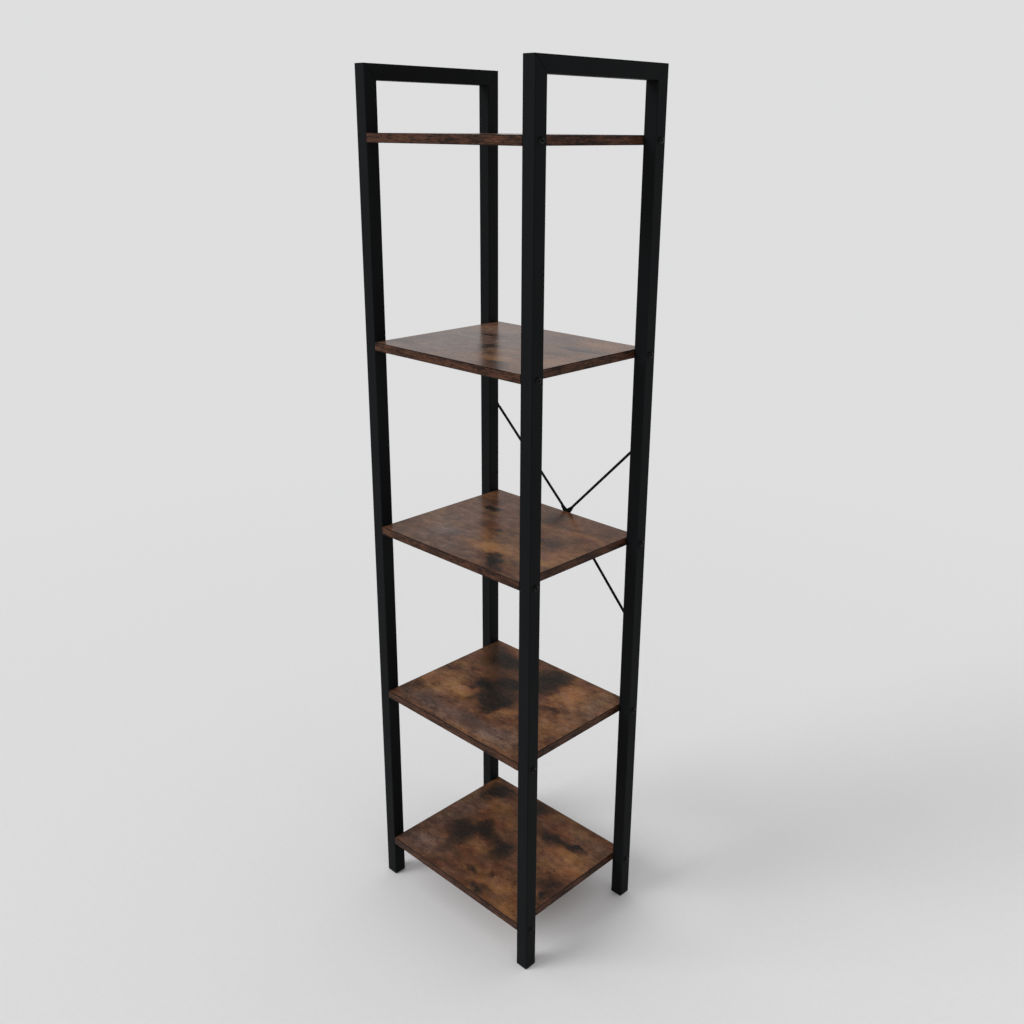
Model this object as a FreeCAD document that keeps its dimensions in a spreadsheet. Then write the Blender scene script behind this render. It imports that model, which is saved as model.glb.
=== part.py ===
import FreeCAD, Part
import math
import os
import re
import Sketcher
from FreeCAD import Placement, Rotation, Vector

# A narrow five-tier bookcase: two side frames of square tube, five shelves bolted between them
# and a crossed brace behind. X runs along the front, Y to the back and Z up; the origin is on
# the floor, midway between the frames and between the front and rear faces of the posts.

# Driving sizes in millimetres
SIZES = {
    # Whole bookcase, without the brace that stands behind the rear posts
    "overall_width": 400,
    "overall_depth": 300,
    "overall_height": 1560,
    # Square tube of the side frames
    "tube_size": 25,
    "tube_wall": 1.2,
    "tube_corner_radius": 2,
    "least_inner_radius": 0.3,
    # Shelves: the height of the lowest top face, and how far the highest lies below the frames' top
    "bottom_shelf_height": 91,
    "top_shelf_drop": 105,
    "board_thickness": 15,
    "band_thickness": 1,
    "band_arris_radius": 0.5,
    # Bolts through the posts into threaded inserts in the shelf ends
    "bolt_diameter": 6,
    "bolt_head_diameter": 12,
    "bolt_head_height": 3.3,
    "bolt_socket_flats": 4,
    "bolt_socket_depth": 2,
    "bolt_hole_clearance": 0.25,
    "bolt_tip_room": 1,
    "insert_diameter": 9,
    "insert_length": 16,
    "insert_clearance": 0.1,
    "thread_clearance": 0.1,
    "head_rim_height": 0.6,
    "head_land": 0.5,
    # Plastic plugs in the open ends of the posts
    "plug_base_thickness": 3,
    "plug_base_chamfer": 0.8,
    "plug_stem_height": 14,
    "plug_wall": 2,
    "plug_clearance": 0.1,
    # Crossed brace: its ends above and below the middle shelf, and where the two rods cross
    "brace_rise": 190,
    "brace_hub_rise": 5.5,
    "brace_hub_offset": 8,
    "rod_diameter": 5,
    "rod_taper_length": 10,
    "rod_flat_margin": 1,
    "hub_radius": 6,
    "eye_radius": 5,
    # Screws and rivet nuts at the brace's four ends
    "end_screw_diameter": 5,
    "end_screw_head_diameter": 9.5,
    "end_screw_head_height": 2.7,
    "end_screw_socket_flats": 3,
    "end_screw_socket_depth": 1.6,
    "end_screw_tip_room": 2,
    "rivet_nut_diameter": 7,
    "rivet_nut_length": 11,
    "rivet_flange_diameter": 10,
    "rivet_flange_thickness": 0.8,
    "rivet_hole_clearance": 0.1,
    # Countersunk screw and nut where the rods cross
    "centre_screw_diameter": 4,
    "centre_screw_head_diameter": 8,
    "centre_socket_flats": 2.5,
    "centre_socket_depth": 1.2,
    "centre_screw_tip": 0.8,
    "centre_nut_flats": 7,
    "centre_nut_thickness": 3.2,
    # How far a cutting outline runs past the face that it cuts
    "cut_margin": 1,
}

# Shelves from the floor up
LEVELS = ("bottom", "lower", "middle", "upper", "top")
MIDDLE_LEVEL = LEVELS.index("middle")

# Sides of the bookcase, as the sign of X, and ends of a side frame, as the sign of Y
SIDES = {"left": -1, "right": 1}
ENDS = {"front": -1, "rear": 1}

# Formulas that follow from the driving sizes
POST_X = "((overall_width - tube_size) / 2)"
POST_Y = "((overall_depth - tube_size) / 2)"
POST_LENGTH = "(overall_height - plug_base_thickness)"
TUBE_INSIDE = "(tube_size - 2 * tube_wall)"
TUBE_INNER_RADIUS = "max(tube_corner_radius - tube_wall; least_inner_radius)"
SHELF_PITCH = f"((overall_height - top_shelf_drop - bottom_shelf_height) / {len(LEVELS) - 1})"
SHELF_LENGTH = "(overall_width - 2 * tube_size)"
BAND_ROUND = "min(band_arris_radius; band_thickness / 2)"
BOLT_LENGTH = "(tube_size + insert_length - bolt_tip_room)"
FLAT_THICKNESS = "(rod_diameter / 2)"
BRACE_FRONT = "(overall_depth / 2 + rivet_flange_thickness)"
BRACE_AXIS = f"({BRACE_FRONT} + {FLAT_THICKNESS})"

# Numbers of a sketch's own axes, the first of which starts at its origin, and of the points on a shape
VERTICAL_AXIS, HORIZONTAL_AXIS = range(-2, 0)
START, END, CENTRE = range(1, 4)

UP = Vector(0, 0, 1)
FULL_TURN = 360
HALF_TURN = 180
QUARTER_TURN = 90

doc = FreeCAD.newDocument("bookcase")
sheet = doc.addObject("Spreadsheet::Sheet", "Sizes")
for row, (alias, size) in enumerate(SIZES.items(), start=1):
    sheet.set(f"A{row}", alias)
    sheet.set(f"B{row}", str(size))
    sheet.setAlias(f"B{row}", alias)
doc.recompute()


# Formulas and places

def formula(text):
    """Point each size named in a formula at its cell in the sheet."""
    return re.sub(r"[a-z][a-z_]*", lambda word: f"Sizes.{word[0]}" if word[0] in SIZES else word[0], text)


def value(text):
    """The number that a formula gives now."""
    result = sheet.evalExpression(formula(text))
    return float(getattr(result, "Value", result))


def bind(item, prop, text):
    item.setExpression(prop, formula(text))


def place(item, x, y, z, turn=None):
    """Put an item at a place given by three formulas, turned as told."""
    item.Placement = Placement(Vector(), turn or Rotation())
    bind(item, "Placement.Base.x", x)
    bind(item, "Placement.Base.y", y)
    bind(item, "Placement.Base.z", z)


def shelf_middle(level):
    """Height of the middle of a board's thickness."""
    return f"(bottom_shelf_height + {level} * {SHELF_PITCH} - board_thickness / 2)"


# Bodies and sketches

def new_body(label):
    body = doc.addObject("PartDesign::Body", label)
    body.Label = label
    return body


def origin_part(body, role):
    """A plane or axis of the body's own origin."""
    return next(part for part in body.Origin.OriginFeatures if part.Role == role)


def new_sketch(body, name, plane, lift=None):
    """A sketch on one of the body's planes, lifted along that plane's normal by a formula."""
    sketch = body.newObject("Sketcher::SketchObject", name)
    sketch.AttachmentSupport = (origin_part(body, plane), "")
    sketch.MapMode = "FlatFace"
    if lift:
        bind(sketch, "AttachmentOffset.Base.z", lift)
    return sketch


def constrain(sketch, text, kind, *where):
    """Add a constraint whose size is a formula."""
    number = sketch.addConstraint(Sketcher.Constraint(kind, *where, value(text)))
    bind(sketch, f"Constraints[{number}]", text)


def pin(sketch, shape, point, corner):
    """Hold a point of a sketch at a corner given by two formulas."""
    for kind, axis, text in zip(("DistanceX", "DistanceY"), (VERTICAL_AXIS, HORIZONTAL_AXIS), corner):
        if text == "0":
            sketch.addConstraint(Sketcher.Constraint("PointOnObject", shape, point, axis))
        else:
            constrain(sketch, text, kind, HORIZONTAL_AXIS, START, shape, point)


def short_arc(start, end, radius):
    """The arc from start to end, anticlockwise, with its centre on the left of the way there."""
    chord = end - start
    inward = Vector(-chord.y, chord.x, 0).normalize()
    centre = (start + end) / 2 + inward * math.sqrt(radius**2 - (chord.Length / 2) ** 2)
    first = math.atan2(start.y - centre.y, start.x - centre.x)
    last = math.atan2(end.y - centre.y, end.x - centre.x)
    if last < first:
        last += 2 * math.pi
    return Part.ArcOfCircle(Part.Circle(centre, UP, radius), first, last)


def outline(sketch, corners, rounds=None):
    """Draw a closed outline anticlockwise; rounds gives the radius of each side that is an arc."""
    rounds = rounds or {}
    points = [Vector(value(x), value(y), 0) for x, y in corners]
    first = sketch.GeometryCount
    for side, start in enumerate(points):
        end = points[(side + 1) % len(points)]
        if side in rounds:
            sketch.addGeometry(short_arc(start, end, value(rounds[side])))
        else:
            sketch.addGeometry(Part.LineSegment(start, end))
    for side, corner in enumerate(corners):
        following = first + (side + 1) % len(points)
        sketch.addConstraint(Sketcher.Constraint("Coincident", first + side, END, following, START))
        pin(sketch, first + side, START, corner)
        if side in rounds:
            constrain(sketch, rounds[side], "Radius", first + side)


def circle(sketch, corner, radius):
    middle = Vector(value(corner[0]), value(corner[1]), 0)
    number = sketch.addGeometry(Part.Circle(middle, UP, value(radius)))
    pin(sketch, number, CENTRE, corner)
    constrain(sketch, radius, "Radius", number)


def rounded_square(sketch, side, radius):
    """A square about the sketch's origin with rounded corners."""
    half = f"({side} / 2)"
    inner = f"({half} - {radius})"
    corners = [
        (inner, f"-{half}"),
        (half, f"-{inner}"),
        (half, inner),
        (inner, half),
        (f"-{inner}", half),
        (f"-{half}", inner),
        (f"-{half}", f"-{inner}"),
        (f"-{inner}", f"-{half}"),
    ]
    outline(sketch, corners, {side: radius for side in range(0, len(corners), 2)})


def rectangle(sketch, width, height):
    """A rectangle about the sketch's origin."""
    across = f"({width} / 2)"
    up = f"({height} / 2)"
    outline(sketch, [(f"-{across}", f"-{up}"), (across, f"-{up}"), (across, up), (f"-{across}", up)])


def hexagon(sketch, flats):
    """A regular hexagon about the sketch's origin, sized across its flats."""
    corner = f"({flats} / sqrt(3))"
    side = f"({flats} / 2)"
    corners = [
        (corner, "0"),
        (f"{corner} / 2", side),
        (f"-{corner} / 2", side),
        (f"-{corner}", "0"),
        (f"-{corner} / 2", f"-{side}"),
        (f"{corner} / 2", f"-{side}"),
    ]
    outline(sketch, corners)


# Features

def pad(body, sketch, length, sides="One side", reverse=False):
    feature = body.newObject("PartDesign::Pad", "pad")
    feature.Profile = sketch
    feature.SideType = sides
    feature.Reversed = reverse
    bind(feature, "Length", length)
    return feature


def pocket(body, sketch, depth, reverse=False):
    """Cut to a depth, against the sketch's normal unless reversed."""
    feature = body.newObject("PartDesign::Pocket", "pocket")
    feature.Profile = sketch
    feature.Reversed = reverse
    bind(feature, "Length", depth)
    return feature


def cut_through(body, sketch):
    """Cut right through the body on both sides of the sketch."""
    feature = body.newObject("PartDesign::Pocket", "cut")
    feature.Profile = sketch
    feature.SideType = "Symmetric"
    feature.Type = "ThroughAll"
    return feature


def revolve(body, sketch, axis, kind="PartDesign::Revolution"):
    """Turn a half section once round one of its sketch's axes, as a solid or as a cut."""
    feature = body.newObject(kind, "turned")
    feature.Profile = sketch
    feature.ReferenceAxis = (sketch, [axis])
    feature.Angle = FULL_TURN
    return feature


def copy_of(master, name, x, y, z, turn):
    """One more of a piece that the bookcase has many of."""
    link = doc.addObject("App::Link", name)
    link.LinkedObject = master
    place(link, x, y, z, turn)
    return link


def group(label, copies):
    """Loose copies of a piece, kept together as one sub-part."""
    together = doc.addObject("Part::Compound", label)
    together.Label = label
    together.Links = copies
    return together


# Side frames

def tube_section(sketch):
    rounded_square(sketch, "tube_size", "tube_corner_radius")
    rounded_square(sketch, TUBE_INSIDE, TUBE_INNER_RADIUS)


def post(label, side, end):
    """A post stands on its plug; its own -Y face is the outer one, at the front or the rear."""
    body = new_body(label)
    section = new_sketch(body, "section", "XY_Plane")
    tube_section(section)
    pad(body, section, POST_LENGTH)

    half = "(tube_size / 2 + cut_margin)"
    above = f"({POST_LENGTH} + cut_margin)"
    below = f"({POST_LENGTH} - tube_size - cut_margin)"
    slope = new_sketch(body, "mitre", "YZ_Plane")
    outline(slope, [(half, below), (half, above), (f"-{half}", above)])
    cut_through(body, slope)

    bolt_hole = new_sketch(body, "bolt_hole", "YZ_Plane")
    lowest_bolt = f"({shelf_middle(0)} - plug_base_thickness)"
    circle(bolt_hole, ("0", lowest_bolt), "bolt_diameter / 2 + bolt_hole_clearance")
    lowest_hole = cut_through(body, bolt_hole)
    doc.recompute()
    row_of_holes = body.newObject("PartDesign::LinearPattern", "row_of_holes")
    row_of_holes.Originals = [lowest_hole]
    row_of_holes.Direction = (origin_part(body, "Z_Axis"), [""])
    row_of_holes.Occurrences = len(LEVELS)
    bind(row_of_holes, "Length", f"{len(LEVELS) - 1} * {SHELF_PITCH}")
    body.Tip = row_of_holes

    if end == "rear":
        rivet_holes = new_sketch(body, "rivet_holes", "XZ_Plane")
        for rise in ("brace_rise", "-brace_rise"):
            height = f"{shelf_middle(MIDDLE_LEVEL)} + {rise} - plug_base_thickness"
            circle(rivet_holes, ("0", height), "rivet_nut_diameter / 2 + rivet_hole_clearance")
        pocket(body, rivet_holes, "tube_size", reverse=True)

    facing = Rotation(UP, 0 if end == "front" else HALF_TURN)
    place(body, f"{SIDES[side]} * {POST_X}", f"{ENDS[end]} * {POST_Y}", "plug_base_thickness", facing)
    return body


def top_rail(label, side):
    """The rail joins the tops of a side frame's posts, mitred at both ends."""
    body = new_body(label)
    section = new_sketch(body, "section", "XZ_Plane")
    tube_section(section)
    pad(body, section, "overall_depth", "Symmetric")

    half = "(tube_size / 2 + cut_margin)"
    outer = "(overall_depth / 2 + cut_margin)"
    inner = "(overall_depth / 2 - tube_size - cut_margin)"
    slopes = new_sketch(body, "mitres", "YZ_Plane")
    outline(slopes, [(f"-{outer}", half), (f"-{outer}", f"-{half}"), (f"-{inner}", f"-{half}")])
    outline(slopes, [(inner, f"-{half}"), (outer, f"-{half}"), (outer, half)])
    cut_through(body, slopes)

    place(body, f"{SIDES[side]} * {POST_X}", "0", "overall_height - tube_size / 2")
    return body


def foot_plug(label, side, end):
    """A plastic plug: a base under the post's end and a hollow stem inside the tube."""
    body = new_body(label)
    base = new_sketch(body, "base", "XY_Plane")
    rounded_square(base, "tube_size", "tube_corner_radius")
    base_pad = pad(body, base, "plug_base_thickness")
    doc.recompute()

    underside = min(range(len(base_pad.Shape.Faces)), key=lambda n: base_pad.Shape.Faces[n].CenterOfMass.z)
    chamfer = body.newObject("PartDesign::Chamfer", "foot_chamfer")
    chamfer.Base = (base_pad, [f"Face{underside + 1}"])
    bind(chamfer, "Size", "plug_base_chamfer")

    stem_side = f"({TUBE_INSIDE} - 2 * plug_clearance)"
    stem = new_sketch(body, "stem", "XY_Plane", lift="plug_base_thickness")
    rounded_square(stem, stem_side, TUBE_INNER_RADIUS)
    pad(body, stem, "plug_stem_height")
    hollow = new_sketch(body, "hollow", "XY_Plane", lift="plug_base_thickness + plug_stem_height")
    rectangle(hollow, f"({stem_side} - 2 * plug_wall)", f"({stem_side} - 2 * plug_wall)")
    pocket(body, hollow, "plug_stem_height")

    place(body, f"{SIDES[side]} * {POST_X}", f"{ENDS[end]} * {POST_Y}", "0")
    return body


# Shelves

def shelf_board(label, level):
    """The board's core, with sockets for the threaded inserts in both ends."""
    length = f"({SHELF_LENGTH} - 2 * band_thickness)"
    body = new_body(label)
    face = new_sketch(body, "face", "XY_Plane")
    rectangle(face, length, "(overall_depth - 2 * band_thickness)")
    pad(body, face, "board_thickness", "Symmetric")

    sockets = new_sketch(body, "insert_sockets", "YZ_Plane", lift=f"{length} / 2")
    for sign in ENDS.values():
        circle(sockets, (f"{sign} * {POST_Y}", "0"), "insert_diameter / 2 + insert_clearance")
    right_sockets = pocket(body, sockets, "insert_length - band_thickness")
    doc.recompute()
    both_ends = body.newObject("PartDesign::Mirrored", "both_ends")
    both_ends.Originals = [right_sockets]
    both_ends.MirrorPlane = (origin_part(body, "YZ_Plane"), [""])
    body.Tip = both_ends

    place(body, "0", "0", shelf_middle(level))
    return body


def edge_band(label, length, insert_holes):
    """A strip along X with its glued face at Y zero, its two outer arrises rounded."""
    half = "(board_thickness / 2)"
    body = new_body(label)
    section = new_sketch(body, "section", "YZ_Plane")
    corners = [
        ("0", f"-{half}"),
        (f"band_thickness - {BAND_ROUND}", f"-{half}"),
        ("band_thickness", f"-({half} - {BAND_ROUND})"),
        ("band_thickness", f"{half} - {BAND_ROUND}"),
        (f"band_thickness - {BAND_ROUND}", half),
        ("0", half),
    ]
    outline(section, corners, {1: BAND_ROUND, 3: BAND_ROUND})
    pad(body, section, length, "Symmetric")
    if insert_holes:
        holes = new_sketch(body, "insert_holes", "XZ_Plane")
        for sign in ENDS.values():
            circle(holes, (f"{sign} * {POST_Y}", "0"), "insert_diameter / 2 + insert_clearance")
        cut_through(body, holes)
    return body


def threaded_insert(label):
    """A sleeve with its mouth at Z zero, reaching down into the board."""
    inner = "(bolt_diameter / 2 + thread_clearance)"
    outer = "(insert_diameter / 2)"
    body = new_body(label)
    section = new_sketch(body, "section", "XZ_Plane")
    outline(section, [(inner, "-insert_length"), (outer, "-insert_length"), (outer, "0"), (inner, "0")])
    revolve(body, section, "V_Axis")
    return body


# Fasteners

def socket(body, flats, depth, top):
    """A hexagon socket sunk into a screw head's top."""
    hole = new_sketch(body, "socket", "XY_Plane", lift=top)
    hexagon(hole, flats)
    pocket(body, hole, depth)


def button_screw(label, kind, length):
    """A domed socket screw: the head stands on Z zero and the shank hangs below it."""
    shank = f"({kind}_diameter / 2)"
    rim = f"({kind}_head_diameter / 2)"
    crown = f"({kind}_socket_flats / sqrt(3) + head_land)"
    height = f"{kind}_head_height"
    body = new_body(label)
    section = new_sketch(body, "section", "XZ_Plane")
    dome_start = (rim, "head_rim_height")
    corners = [
        ("0", f"-{length}"),
        (shank, f"-{length}"),
        (shank, "0"),
        (rim, "0"),
        dome_start,
        (crown, height),
        ("0", height),
    ]
    outline(section, corners, {corners.index(dome_start): rim})
    revolve(body, section, "V_Axis")
    socket(body, f"{kind}_socket_flats", f"{kind}_socket_depth", height)
    return body


def rivet_nut(label):
    """A threaded sleeve set in the tube's wall, with a thin flange standing on Z zero."""
    inner = "(end_screw_diameter / 2 + thread_clearance)"
    sleeve = "(rivet_nut_diameter / 2)"
    flange = "(rivet_flange_diameter / 2)"
    body = new_body(label)
    section = new_sketch(body, "section", "XZ_Plane")
    corners = [
        (inner, "-rivet_nut_length"),
        (sleeve, "-rivet_nut_length"),
        (sleeve, "0"),
        (flange, "0"),
        (flange, "rivet_flange_thickness"),
        (inner, "rivet_flange_thickness"),
    ]
    outline(section, corners)
    revolve(body, section, "V_Axis")
    return body


def shelf_fittings(level, name, masters):
    """The edge bands, inserts and bolts of one shelf, each kind as one sub-part."""
    height = shelf_middle(level)
    bands = []
    inserts = []
    bolts = []
    for end, sign in ENDS.items():
        facing = Rotation(UP, HALF_TURN if end == "front" else 0)
        edge = f"{sign} * (overall_depth / 2 - band_thickness)"
        bands.append(copy_of(masters["long_band"], f"{name}_{end}_band", "0", edge, height, facing))
    for side, sign in SIDES.items():
        facing = Rotation(UP, -sign * QUARTER_TURN)
        edge = f"{sign} * ({SHELF_LENGTH} / 2 - band_thickness)"
        bands.append(copy_of(masters["end_band"], f"{name}_{side}_band", edge, "0", height, facing))
        outward = Rotation(Vector(0, 1, 0), sign * QUARTER_TURN)
        for end, along in ENDS.items():
            where = f"{name}_{side}_{end}"
            depth = f"{along} * {POST_Y}"
            mouth = f"{sign} * {SHELF_LENGTH} / 2"
            inserts.append(copy_of(masters["insert"], f"{where}_insert", mouth, depth, height, outward))
            face = f"{sign} * overall_width / 2"
            bolts.append(copy_of(masters["bolt"], f"{where}_bolt", face, depth, height, outward))
    return [
        group(f"{name}_shelf_edge_bands", bands),
        group(f"{name}_shelf_inserts", inserts),
        group(f"{name}_shelf_bolts", bolts),
    ]


# Crossed brace behind the rear posts

def arm_sketch(body, name, turn):
    """A sketch whose own X axis runs from the crossing along an arm of the brace."""
    sketch = new_sketch(body, name, "XZ_Plane")
    sketch.AttachmentOffset = Placement(Vector(), Rotation(UP, value(turn)))
    bind(sketch, "AttachmentOffset.Rotation.Angle", turn)
    return sketch


def brace_arm(body, reach, rise, hub_behind):
    """Half a rod: flat by the crossing, round along its length, and a flat eye for the end screw."""
    length = f"hypot({reach}; {rise})"
    turn = f"atan2({rise}; {reach})"
    radius = "(rod_diameter / 2)"
    hub_flat = "(hub_radius + rod_flat_margin)"
    hub_round = f"({hub_flat} + rod_taper_length)"
    eye_flat = f"({length} - eye_radius - rod_flat_margin)"
    eye_round = f"({eye_flat} - rod_taper_length)"

    neck = arm_sketch(body, "hub_neck", turn)
    outline(neck, [("0", "-hub_radius"), (hub_round, f"-{radius}"), (hub_round, radius), ("0", "hub_radius")])
    pad(body, neck, FLAT_THICKNESS, reverse=hub_behind)

    rod = arm_sketch(body, "round_rod", turn)
    outline(rod, [(hub_flat, "0"), (eye_flat, "0"), (eye_round, radius), (hub_round, radius)])
    revolve(body, rod, "H_Axis")

    eye = arm_sketch(body, "eye", turn)
    corners = [
        (eye_round, f"-{radius}"),
        (length, "-eye_radius"),
        (f"{length} + eye_radius", "0"),
        (length, "eye_radius"),
        (eye_round, radius),
    ]
    outline(eye, corners, {1: "eye_radius", 2: "eye_radius"})
    circle(eye, (length, "0"), "end_screw_diameter / 2 + bolt_hole_clearance")
    pad(body, eye, FLAT_THICKNESS)


def countersink(body):
    """A bore for the centre screw, opened at the front for its sunk head."""
    shank = "(centre_screw_diameter / 2 + bolt_hole_clearance)"
    head = "(centre_screw_head_diameter / 2 + bolt_hole_clearance)"
    face = f"-{FLAT_THICKNESS}"
    front = f"({face} - cut_margin)"
    bore = new_sketch(body, "countersink", "XY_Plane")
    corners = [
        ("0", front),
        (head, front),
        (head, face),
        (shank, f"{face} + {head} - {shank}"),
        (shank, "cut_margin"),
        ("0", "cut_margin"),
    ]
    outline(bore, corners)
    revolve(body, bore, "V_Axis", "PartDesign::Groove")


def brace_rod(label, upper_side, hub_behind):
    """A rod from the top of one rear post to the foot of the other, a little bent where it crosses."""
    body = new_body(label)
    hub = new_sketch(body, "hub", "XZ_Plane")
    circle(hub, ("0", "0"), "hub_radius")
    pad(body, hub, FLAT_THICKNESS, reverse=hub_behind)
    for side, rise in ((upper_side, "brace_rise"), (-upper_side, "-brace_rise")):
        reach = f"({side} * {POST_X} - brace_hub_offset)"
        brace_arm(body, reach, f"({rise} - brace_hub_rise)", hub_behind)
    if hub_behind:
        bore = new_sketch(body, "bore", "XZ_Plane")
        circle(bore, ("0", "0"), "centre_screw_diameter / 2 + bolt_hole_clearance")
        cut_through(body, bore)
    else:
        countersink(body)
    place(body, "brace_hub_offset", BRACE_AXIS, f"{shelf_middle(MIDDLE_LEVEL)} + brace_hub_rise")
    return body


def centre_screw(label):
    """A countersunk screw through both rods where they cross, its head flush at the front."""
    shank = "(centre_screw_diameter / 2)"
    head = "(centre_screw_head_diameter / 2)"
    length = f"(2 * {FLAT_THICKNESS} + centre_nut_thickness + centre_screw_tip)"
    body = new_body(label)
    section = new_sketch(body, "section", "XZ_Plane")
    corners = [
        ("0", f"-{length}"),
        (shank, f"-{length}"),
        (shank, f"{shank} - {head}"),
        (head, "0"),
        ("0", "0"),
    ]
    outline(section, corners)
    revolve(body, section, "V_Axis")
    socket(body, "centre_socket_flats", "centre_socket_depth", "0")
    forward = Rotation(Vector(1, 0, 0), QUARTER_TURN)
    place(body, "brace_hub_offset", BRACE_FRONT, f"{shelf_middle(MIDDLE_LEVEL)} + brace_hub_rise", forward)
    return body


def centre_nut(label):
    """A hexagon nut on the rear of the crossing."""
    body = new_body(label)
    face = new_sketch(body, "face", "XZ_Plane")
    hexagon(face, "centre_nut_flats")
    circle(face, ("0", "0"), "centre_screw_diameter / 2 + thread_clearance")
    pad(body, face, "centre_nut_thickness", reverse=True)
    height = f"{shelf_middle(MIDDLE_LEVEL)} + brace_hub_rise"
    place(body, "brace_hub_offset", f"{BRACE_AXIS} + {FLAT_THICKNESS}", height)
    return body


def brace_end_fittings():
    """The screws and rivet nuts that hold the brace's four eyes to the rear posts."""
    length = "(rod_diameter / 2 + rivet_flange_thickness + rivet_nut_length - end_screw_tip_room)"
    screw = button_screw("one_end_screw", "end_screw", length)
    nut = rivet_nut("one_rivet_nut")
    backward = Rotation(Vector(1, 0, 0), -QUARTER_TURN)
    screws = []
    nuts = []
    for side, sign in SIDES.items():
        across = f"{sign} * {POST_X}"
        for name, rise in (("upper", "brace_rise"), ("lower", "-brace_rise")):
            height = f"{shelf_middle(MIDDLE_LEVEL)} + {rise}"
            where = f"{side}_{name}"
            screws.append(copy_of(screw, f"{where}_end_screw", across, BRACE_AXIS, height, backward))
            nuts.append(copy_of(nut, f"{where}_rivet_nut", across, "overall_depth / 2", height, backward))
    return [group("brace_end_screws", screws), group("brace_rivet_nuts", nuts)]


# Assembly

def build():
    """Make every sub-part and return them in a list."""
    parts = []
    for side in SIDES:
        for end in ENDS:
            parts.append(post(f"{side}_{end}_post", side, end))
            parts.append(foot_plug(f"{side}_{end}_foot_plug", side, end))
        parts.append(top_rail(f"{side}_top_rail", side))
    masters = {
        "long_band": edge_band("one_long_band", SHELF_LENGTH, False),
        "end_band": edge_band("one_end_band", "(overall_depth - 2 * band_thickness)", True),
        "insert": threaded_insert("one_insert"),
        "bolt": button_screw("one_bolt", "bolt", BOLT_LENGTH),
    }
    for level, name in enumerate(LEVELS):
        parts.append(shelf_board(f"{name}_shelf_board", level))
        parts += shelf_fittings(level, name, masters)
    parts.append(brace_rod("falling_brace_rod", SIDES["left"], False))
    parts.append(brace_rod("rising_brace_rod", SIDES["right"], True))
    parts.append(centre_screw("brace_centre_screw"))
    parts.append(centre_nut("brace_centre_nut"))
    parts += brace_end_fittings()
    doc.recompute()
    return parts


def check(parts):
    """Stop if any step of the model failed, cut nothing or left a bad shape."""
    for item in doc.Objects:
        if "Invalid" in item.State or "Error" in item.State:
            raise RuntimeError(f"{item.Label} failed: {item.State}")
        if item.TypeId in ("PartDesign::Pocket", "PartDesign::Groove"):
            if item.Shape.Volume >= item.BaseFeature.Shape.Volume:
                raise RuntimeError(f"{item.Label} cuts nothing")
    for part in parts:
        if part.Shape.isNull() or not part.Shape.isValid():
            raise RuntimeError(f"{part.Label} has a bad shape")


sub_parts = build()
check(sub_parts)
os.makedirs("parts", exist_ok=True)
for sub_part in sub_parts:
    sub_part.Shape.exportStep(f"parts/{sub_part.Label}.step")
    box = sub_part.Shape.BoundBox
    print(f"{sub_part.Label}: {len(sub_part.Shape.Solids)} solids, {sub_part.Shape.Volume:.0f} mm3, {box}")
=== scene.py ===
"""Industrial bookcase: finishes, weld seams, stage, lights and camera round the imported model."""

import math

import bmesh
import bpy
from mathutils import Matrix, Vector


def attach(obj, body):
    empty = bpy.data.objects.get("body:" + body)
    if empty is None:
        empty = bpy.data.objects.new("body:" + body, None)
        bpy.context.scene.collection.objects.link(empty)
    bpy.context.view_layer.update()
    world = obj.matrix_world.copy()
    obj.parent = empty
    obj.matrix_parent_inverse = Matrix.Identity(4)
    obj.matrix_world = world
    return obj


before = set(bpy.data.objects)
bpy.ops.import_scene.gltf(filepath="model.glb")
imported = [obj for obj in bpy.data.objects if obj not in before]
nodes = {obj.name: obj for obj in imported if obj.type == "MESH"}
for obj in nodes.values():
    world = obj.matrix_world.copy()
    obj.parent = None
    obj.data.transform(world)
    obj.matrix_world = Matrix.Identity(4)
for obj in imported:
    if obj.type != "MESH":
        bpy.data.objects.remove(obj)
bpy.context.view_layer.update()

MM = 0.001

# Sizes that the finishes and the seams follow, in millimetres
POST_OUTER_X = 200.0
POST_OUTER_Y = 150.0
TUBE = 25.0
TUBE_CORNER = 2.0
HEIGHT = 1560.0
BOARD_THICKNESS = 15.0
SHELF_TOPS = {"bottom": 91.0, "lower": 432.0, "middle": 773.0, "upper": 1114.0, "top": 1455.0}

# Colours, as linear red, green and blue
POWDER_BLACK = (0.0055, 0.0061, 0.0067, 1.0)
# Lighter coat for the corners and the clouds; on the corners partly a painted highlight along the edges
POWDER_WEAR_AND_HIGHLIGHT = (0.0095, 0.0103, 0.0110, 1.0)
BOLT_BLACK = (0.0050, 0.0052, 0.0055, 1.0)
BOLT_RUBBED = (0.016, 0.016, 0.017, 1.0)
PLASTIC_BLACK = (0.010, 0.010, 0.010, 1.0)
PLASTIC_SCUFFED = (0.024, 0.024, 0.023, 1.0)
ZINC = (0.52, 0.53, 0.54, 1.0)
ZINC_DULL = (0.33, 0.33, 0.33, 1.0)
WOOD_TONES = [
    (0.00, (0.0130, 0.0123, 0.0112, 1.0)),
    (0.20, (0.027, 0.0205, 0.0165, 1.0)),
    (0.37, (0.066, 0.036, 0.024, 1.0)),
    (0.53, (0.128, 0.065, 0.039, 1.0)),
    (0.72, (0.222, 0.117, 0.067, 1.0)),
    (1.00, (0.345, 0.195, 0.120, 1.0)),
]
BAND_LIGHT = (0.090, 0.038, 0.021, 1.0)
BAND_DARK = (0.013, 0.0065, 0.0045, 1.0)
FLOOR_PALE = (0.80, 0.80, 0.805, 1.0)
CEILING_GREY = (0.10, 0.10, 0.105, 1.0)
BACKGROUND_PALE = (0.735, 0.735, 0.742, 1.0)
LIGHT_WHITE = (1.0, 1.0, 1.0, 1.0)


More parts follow.
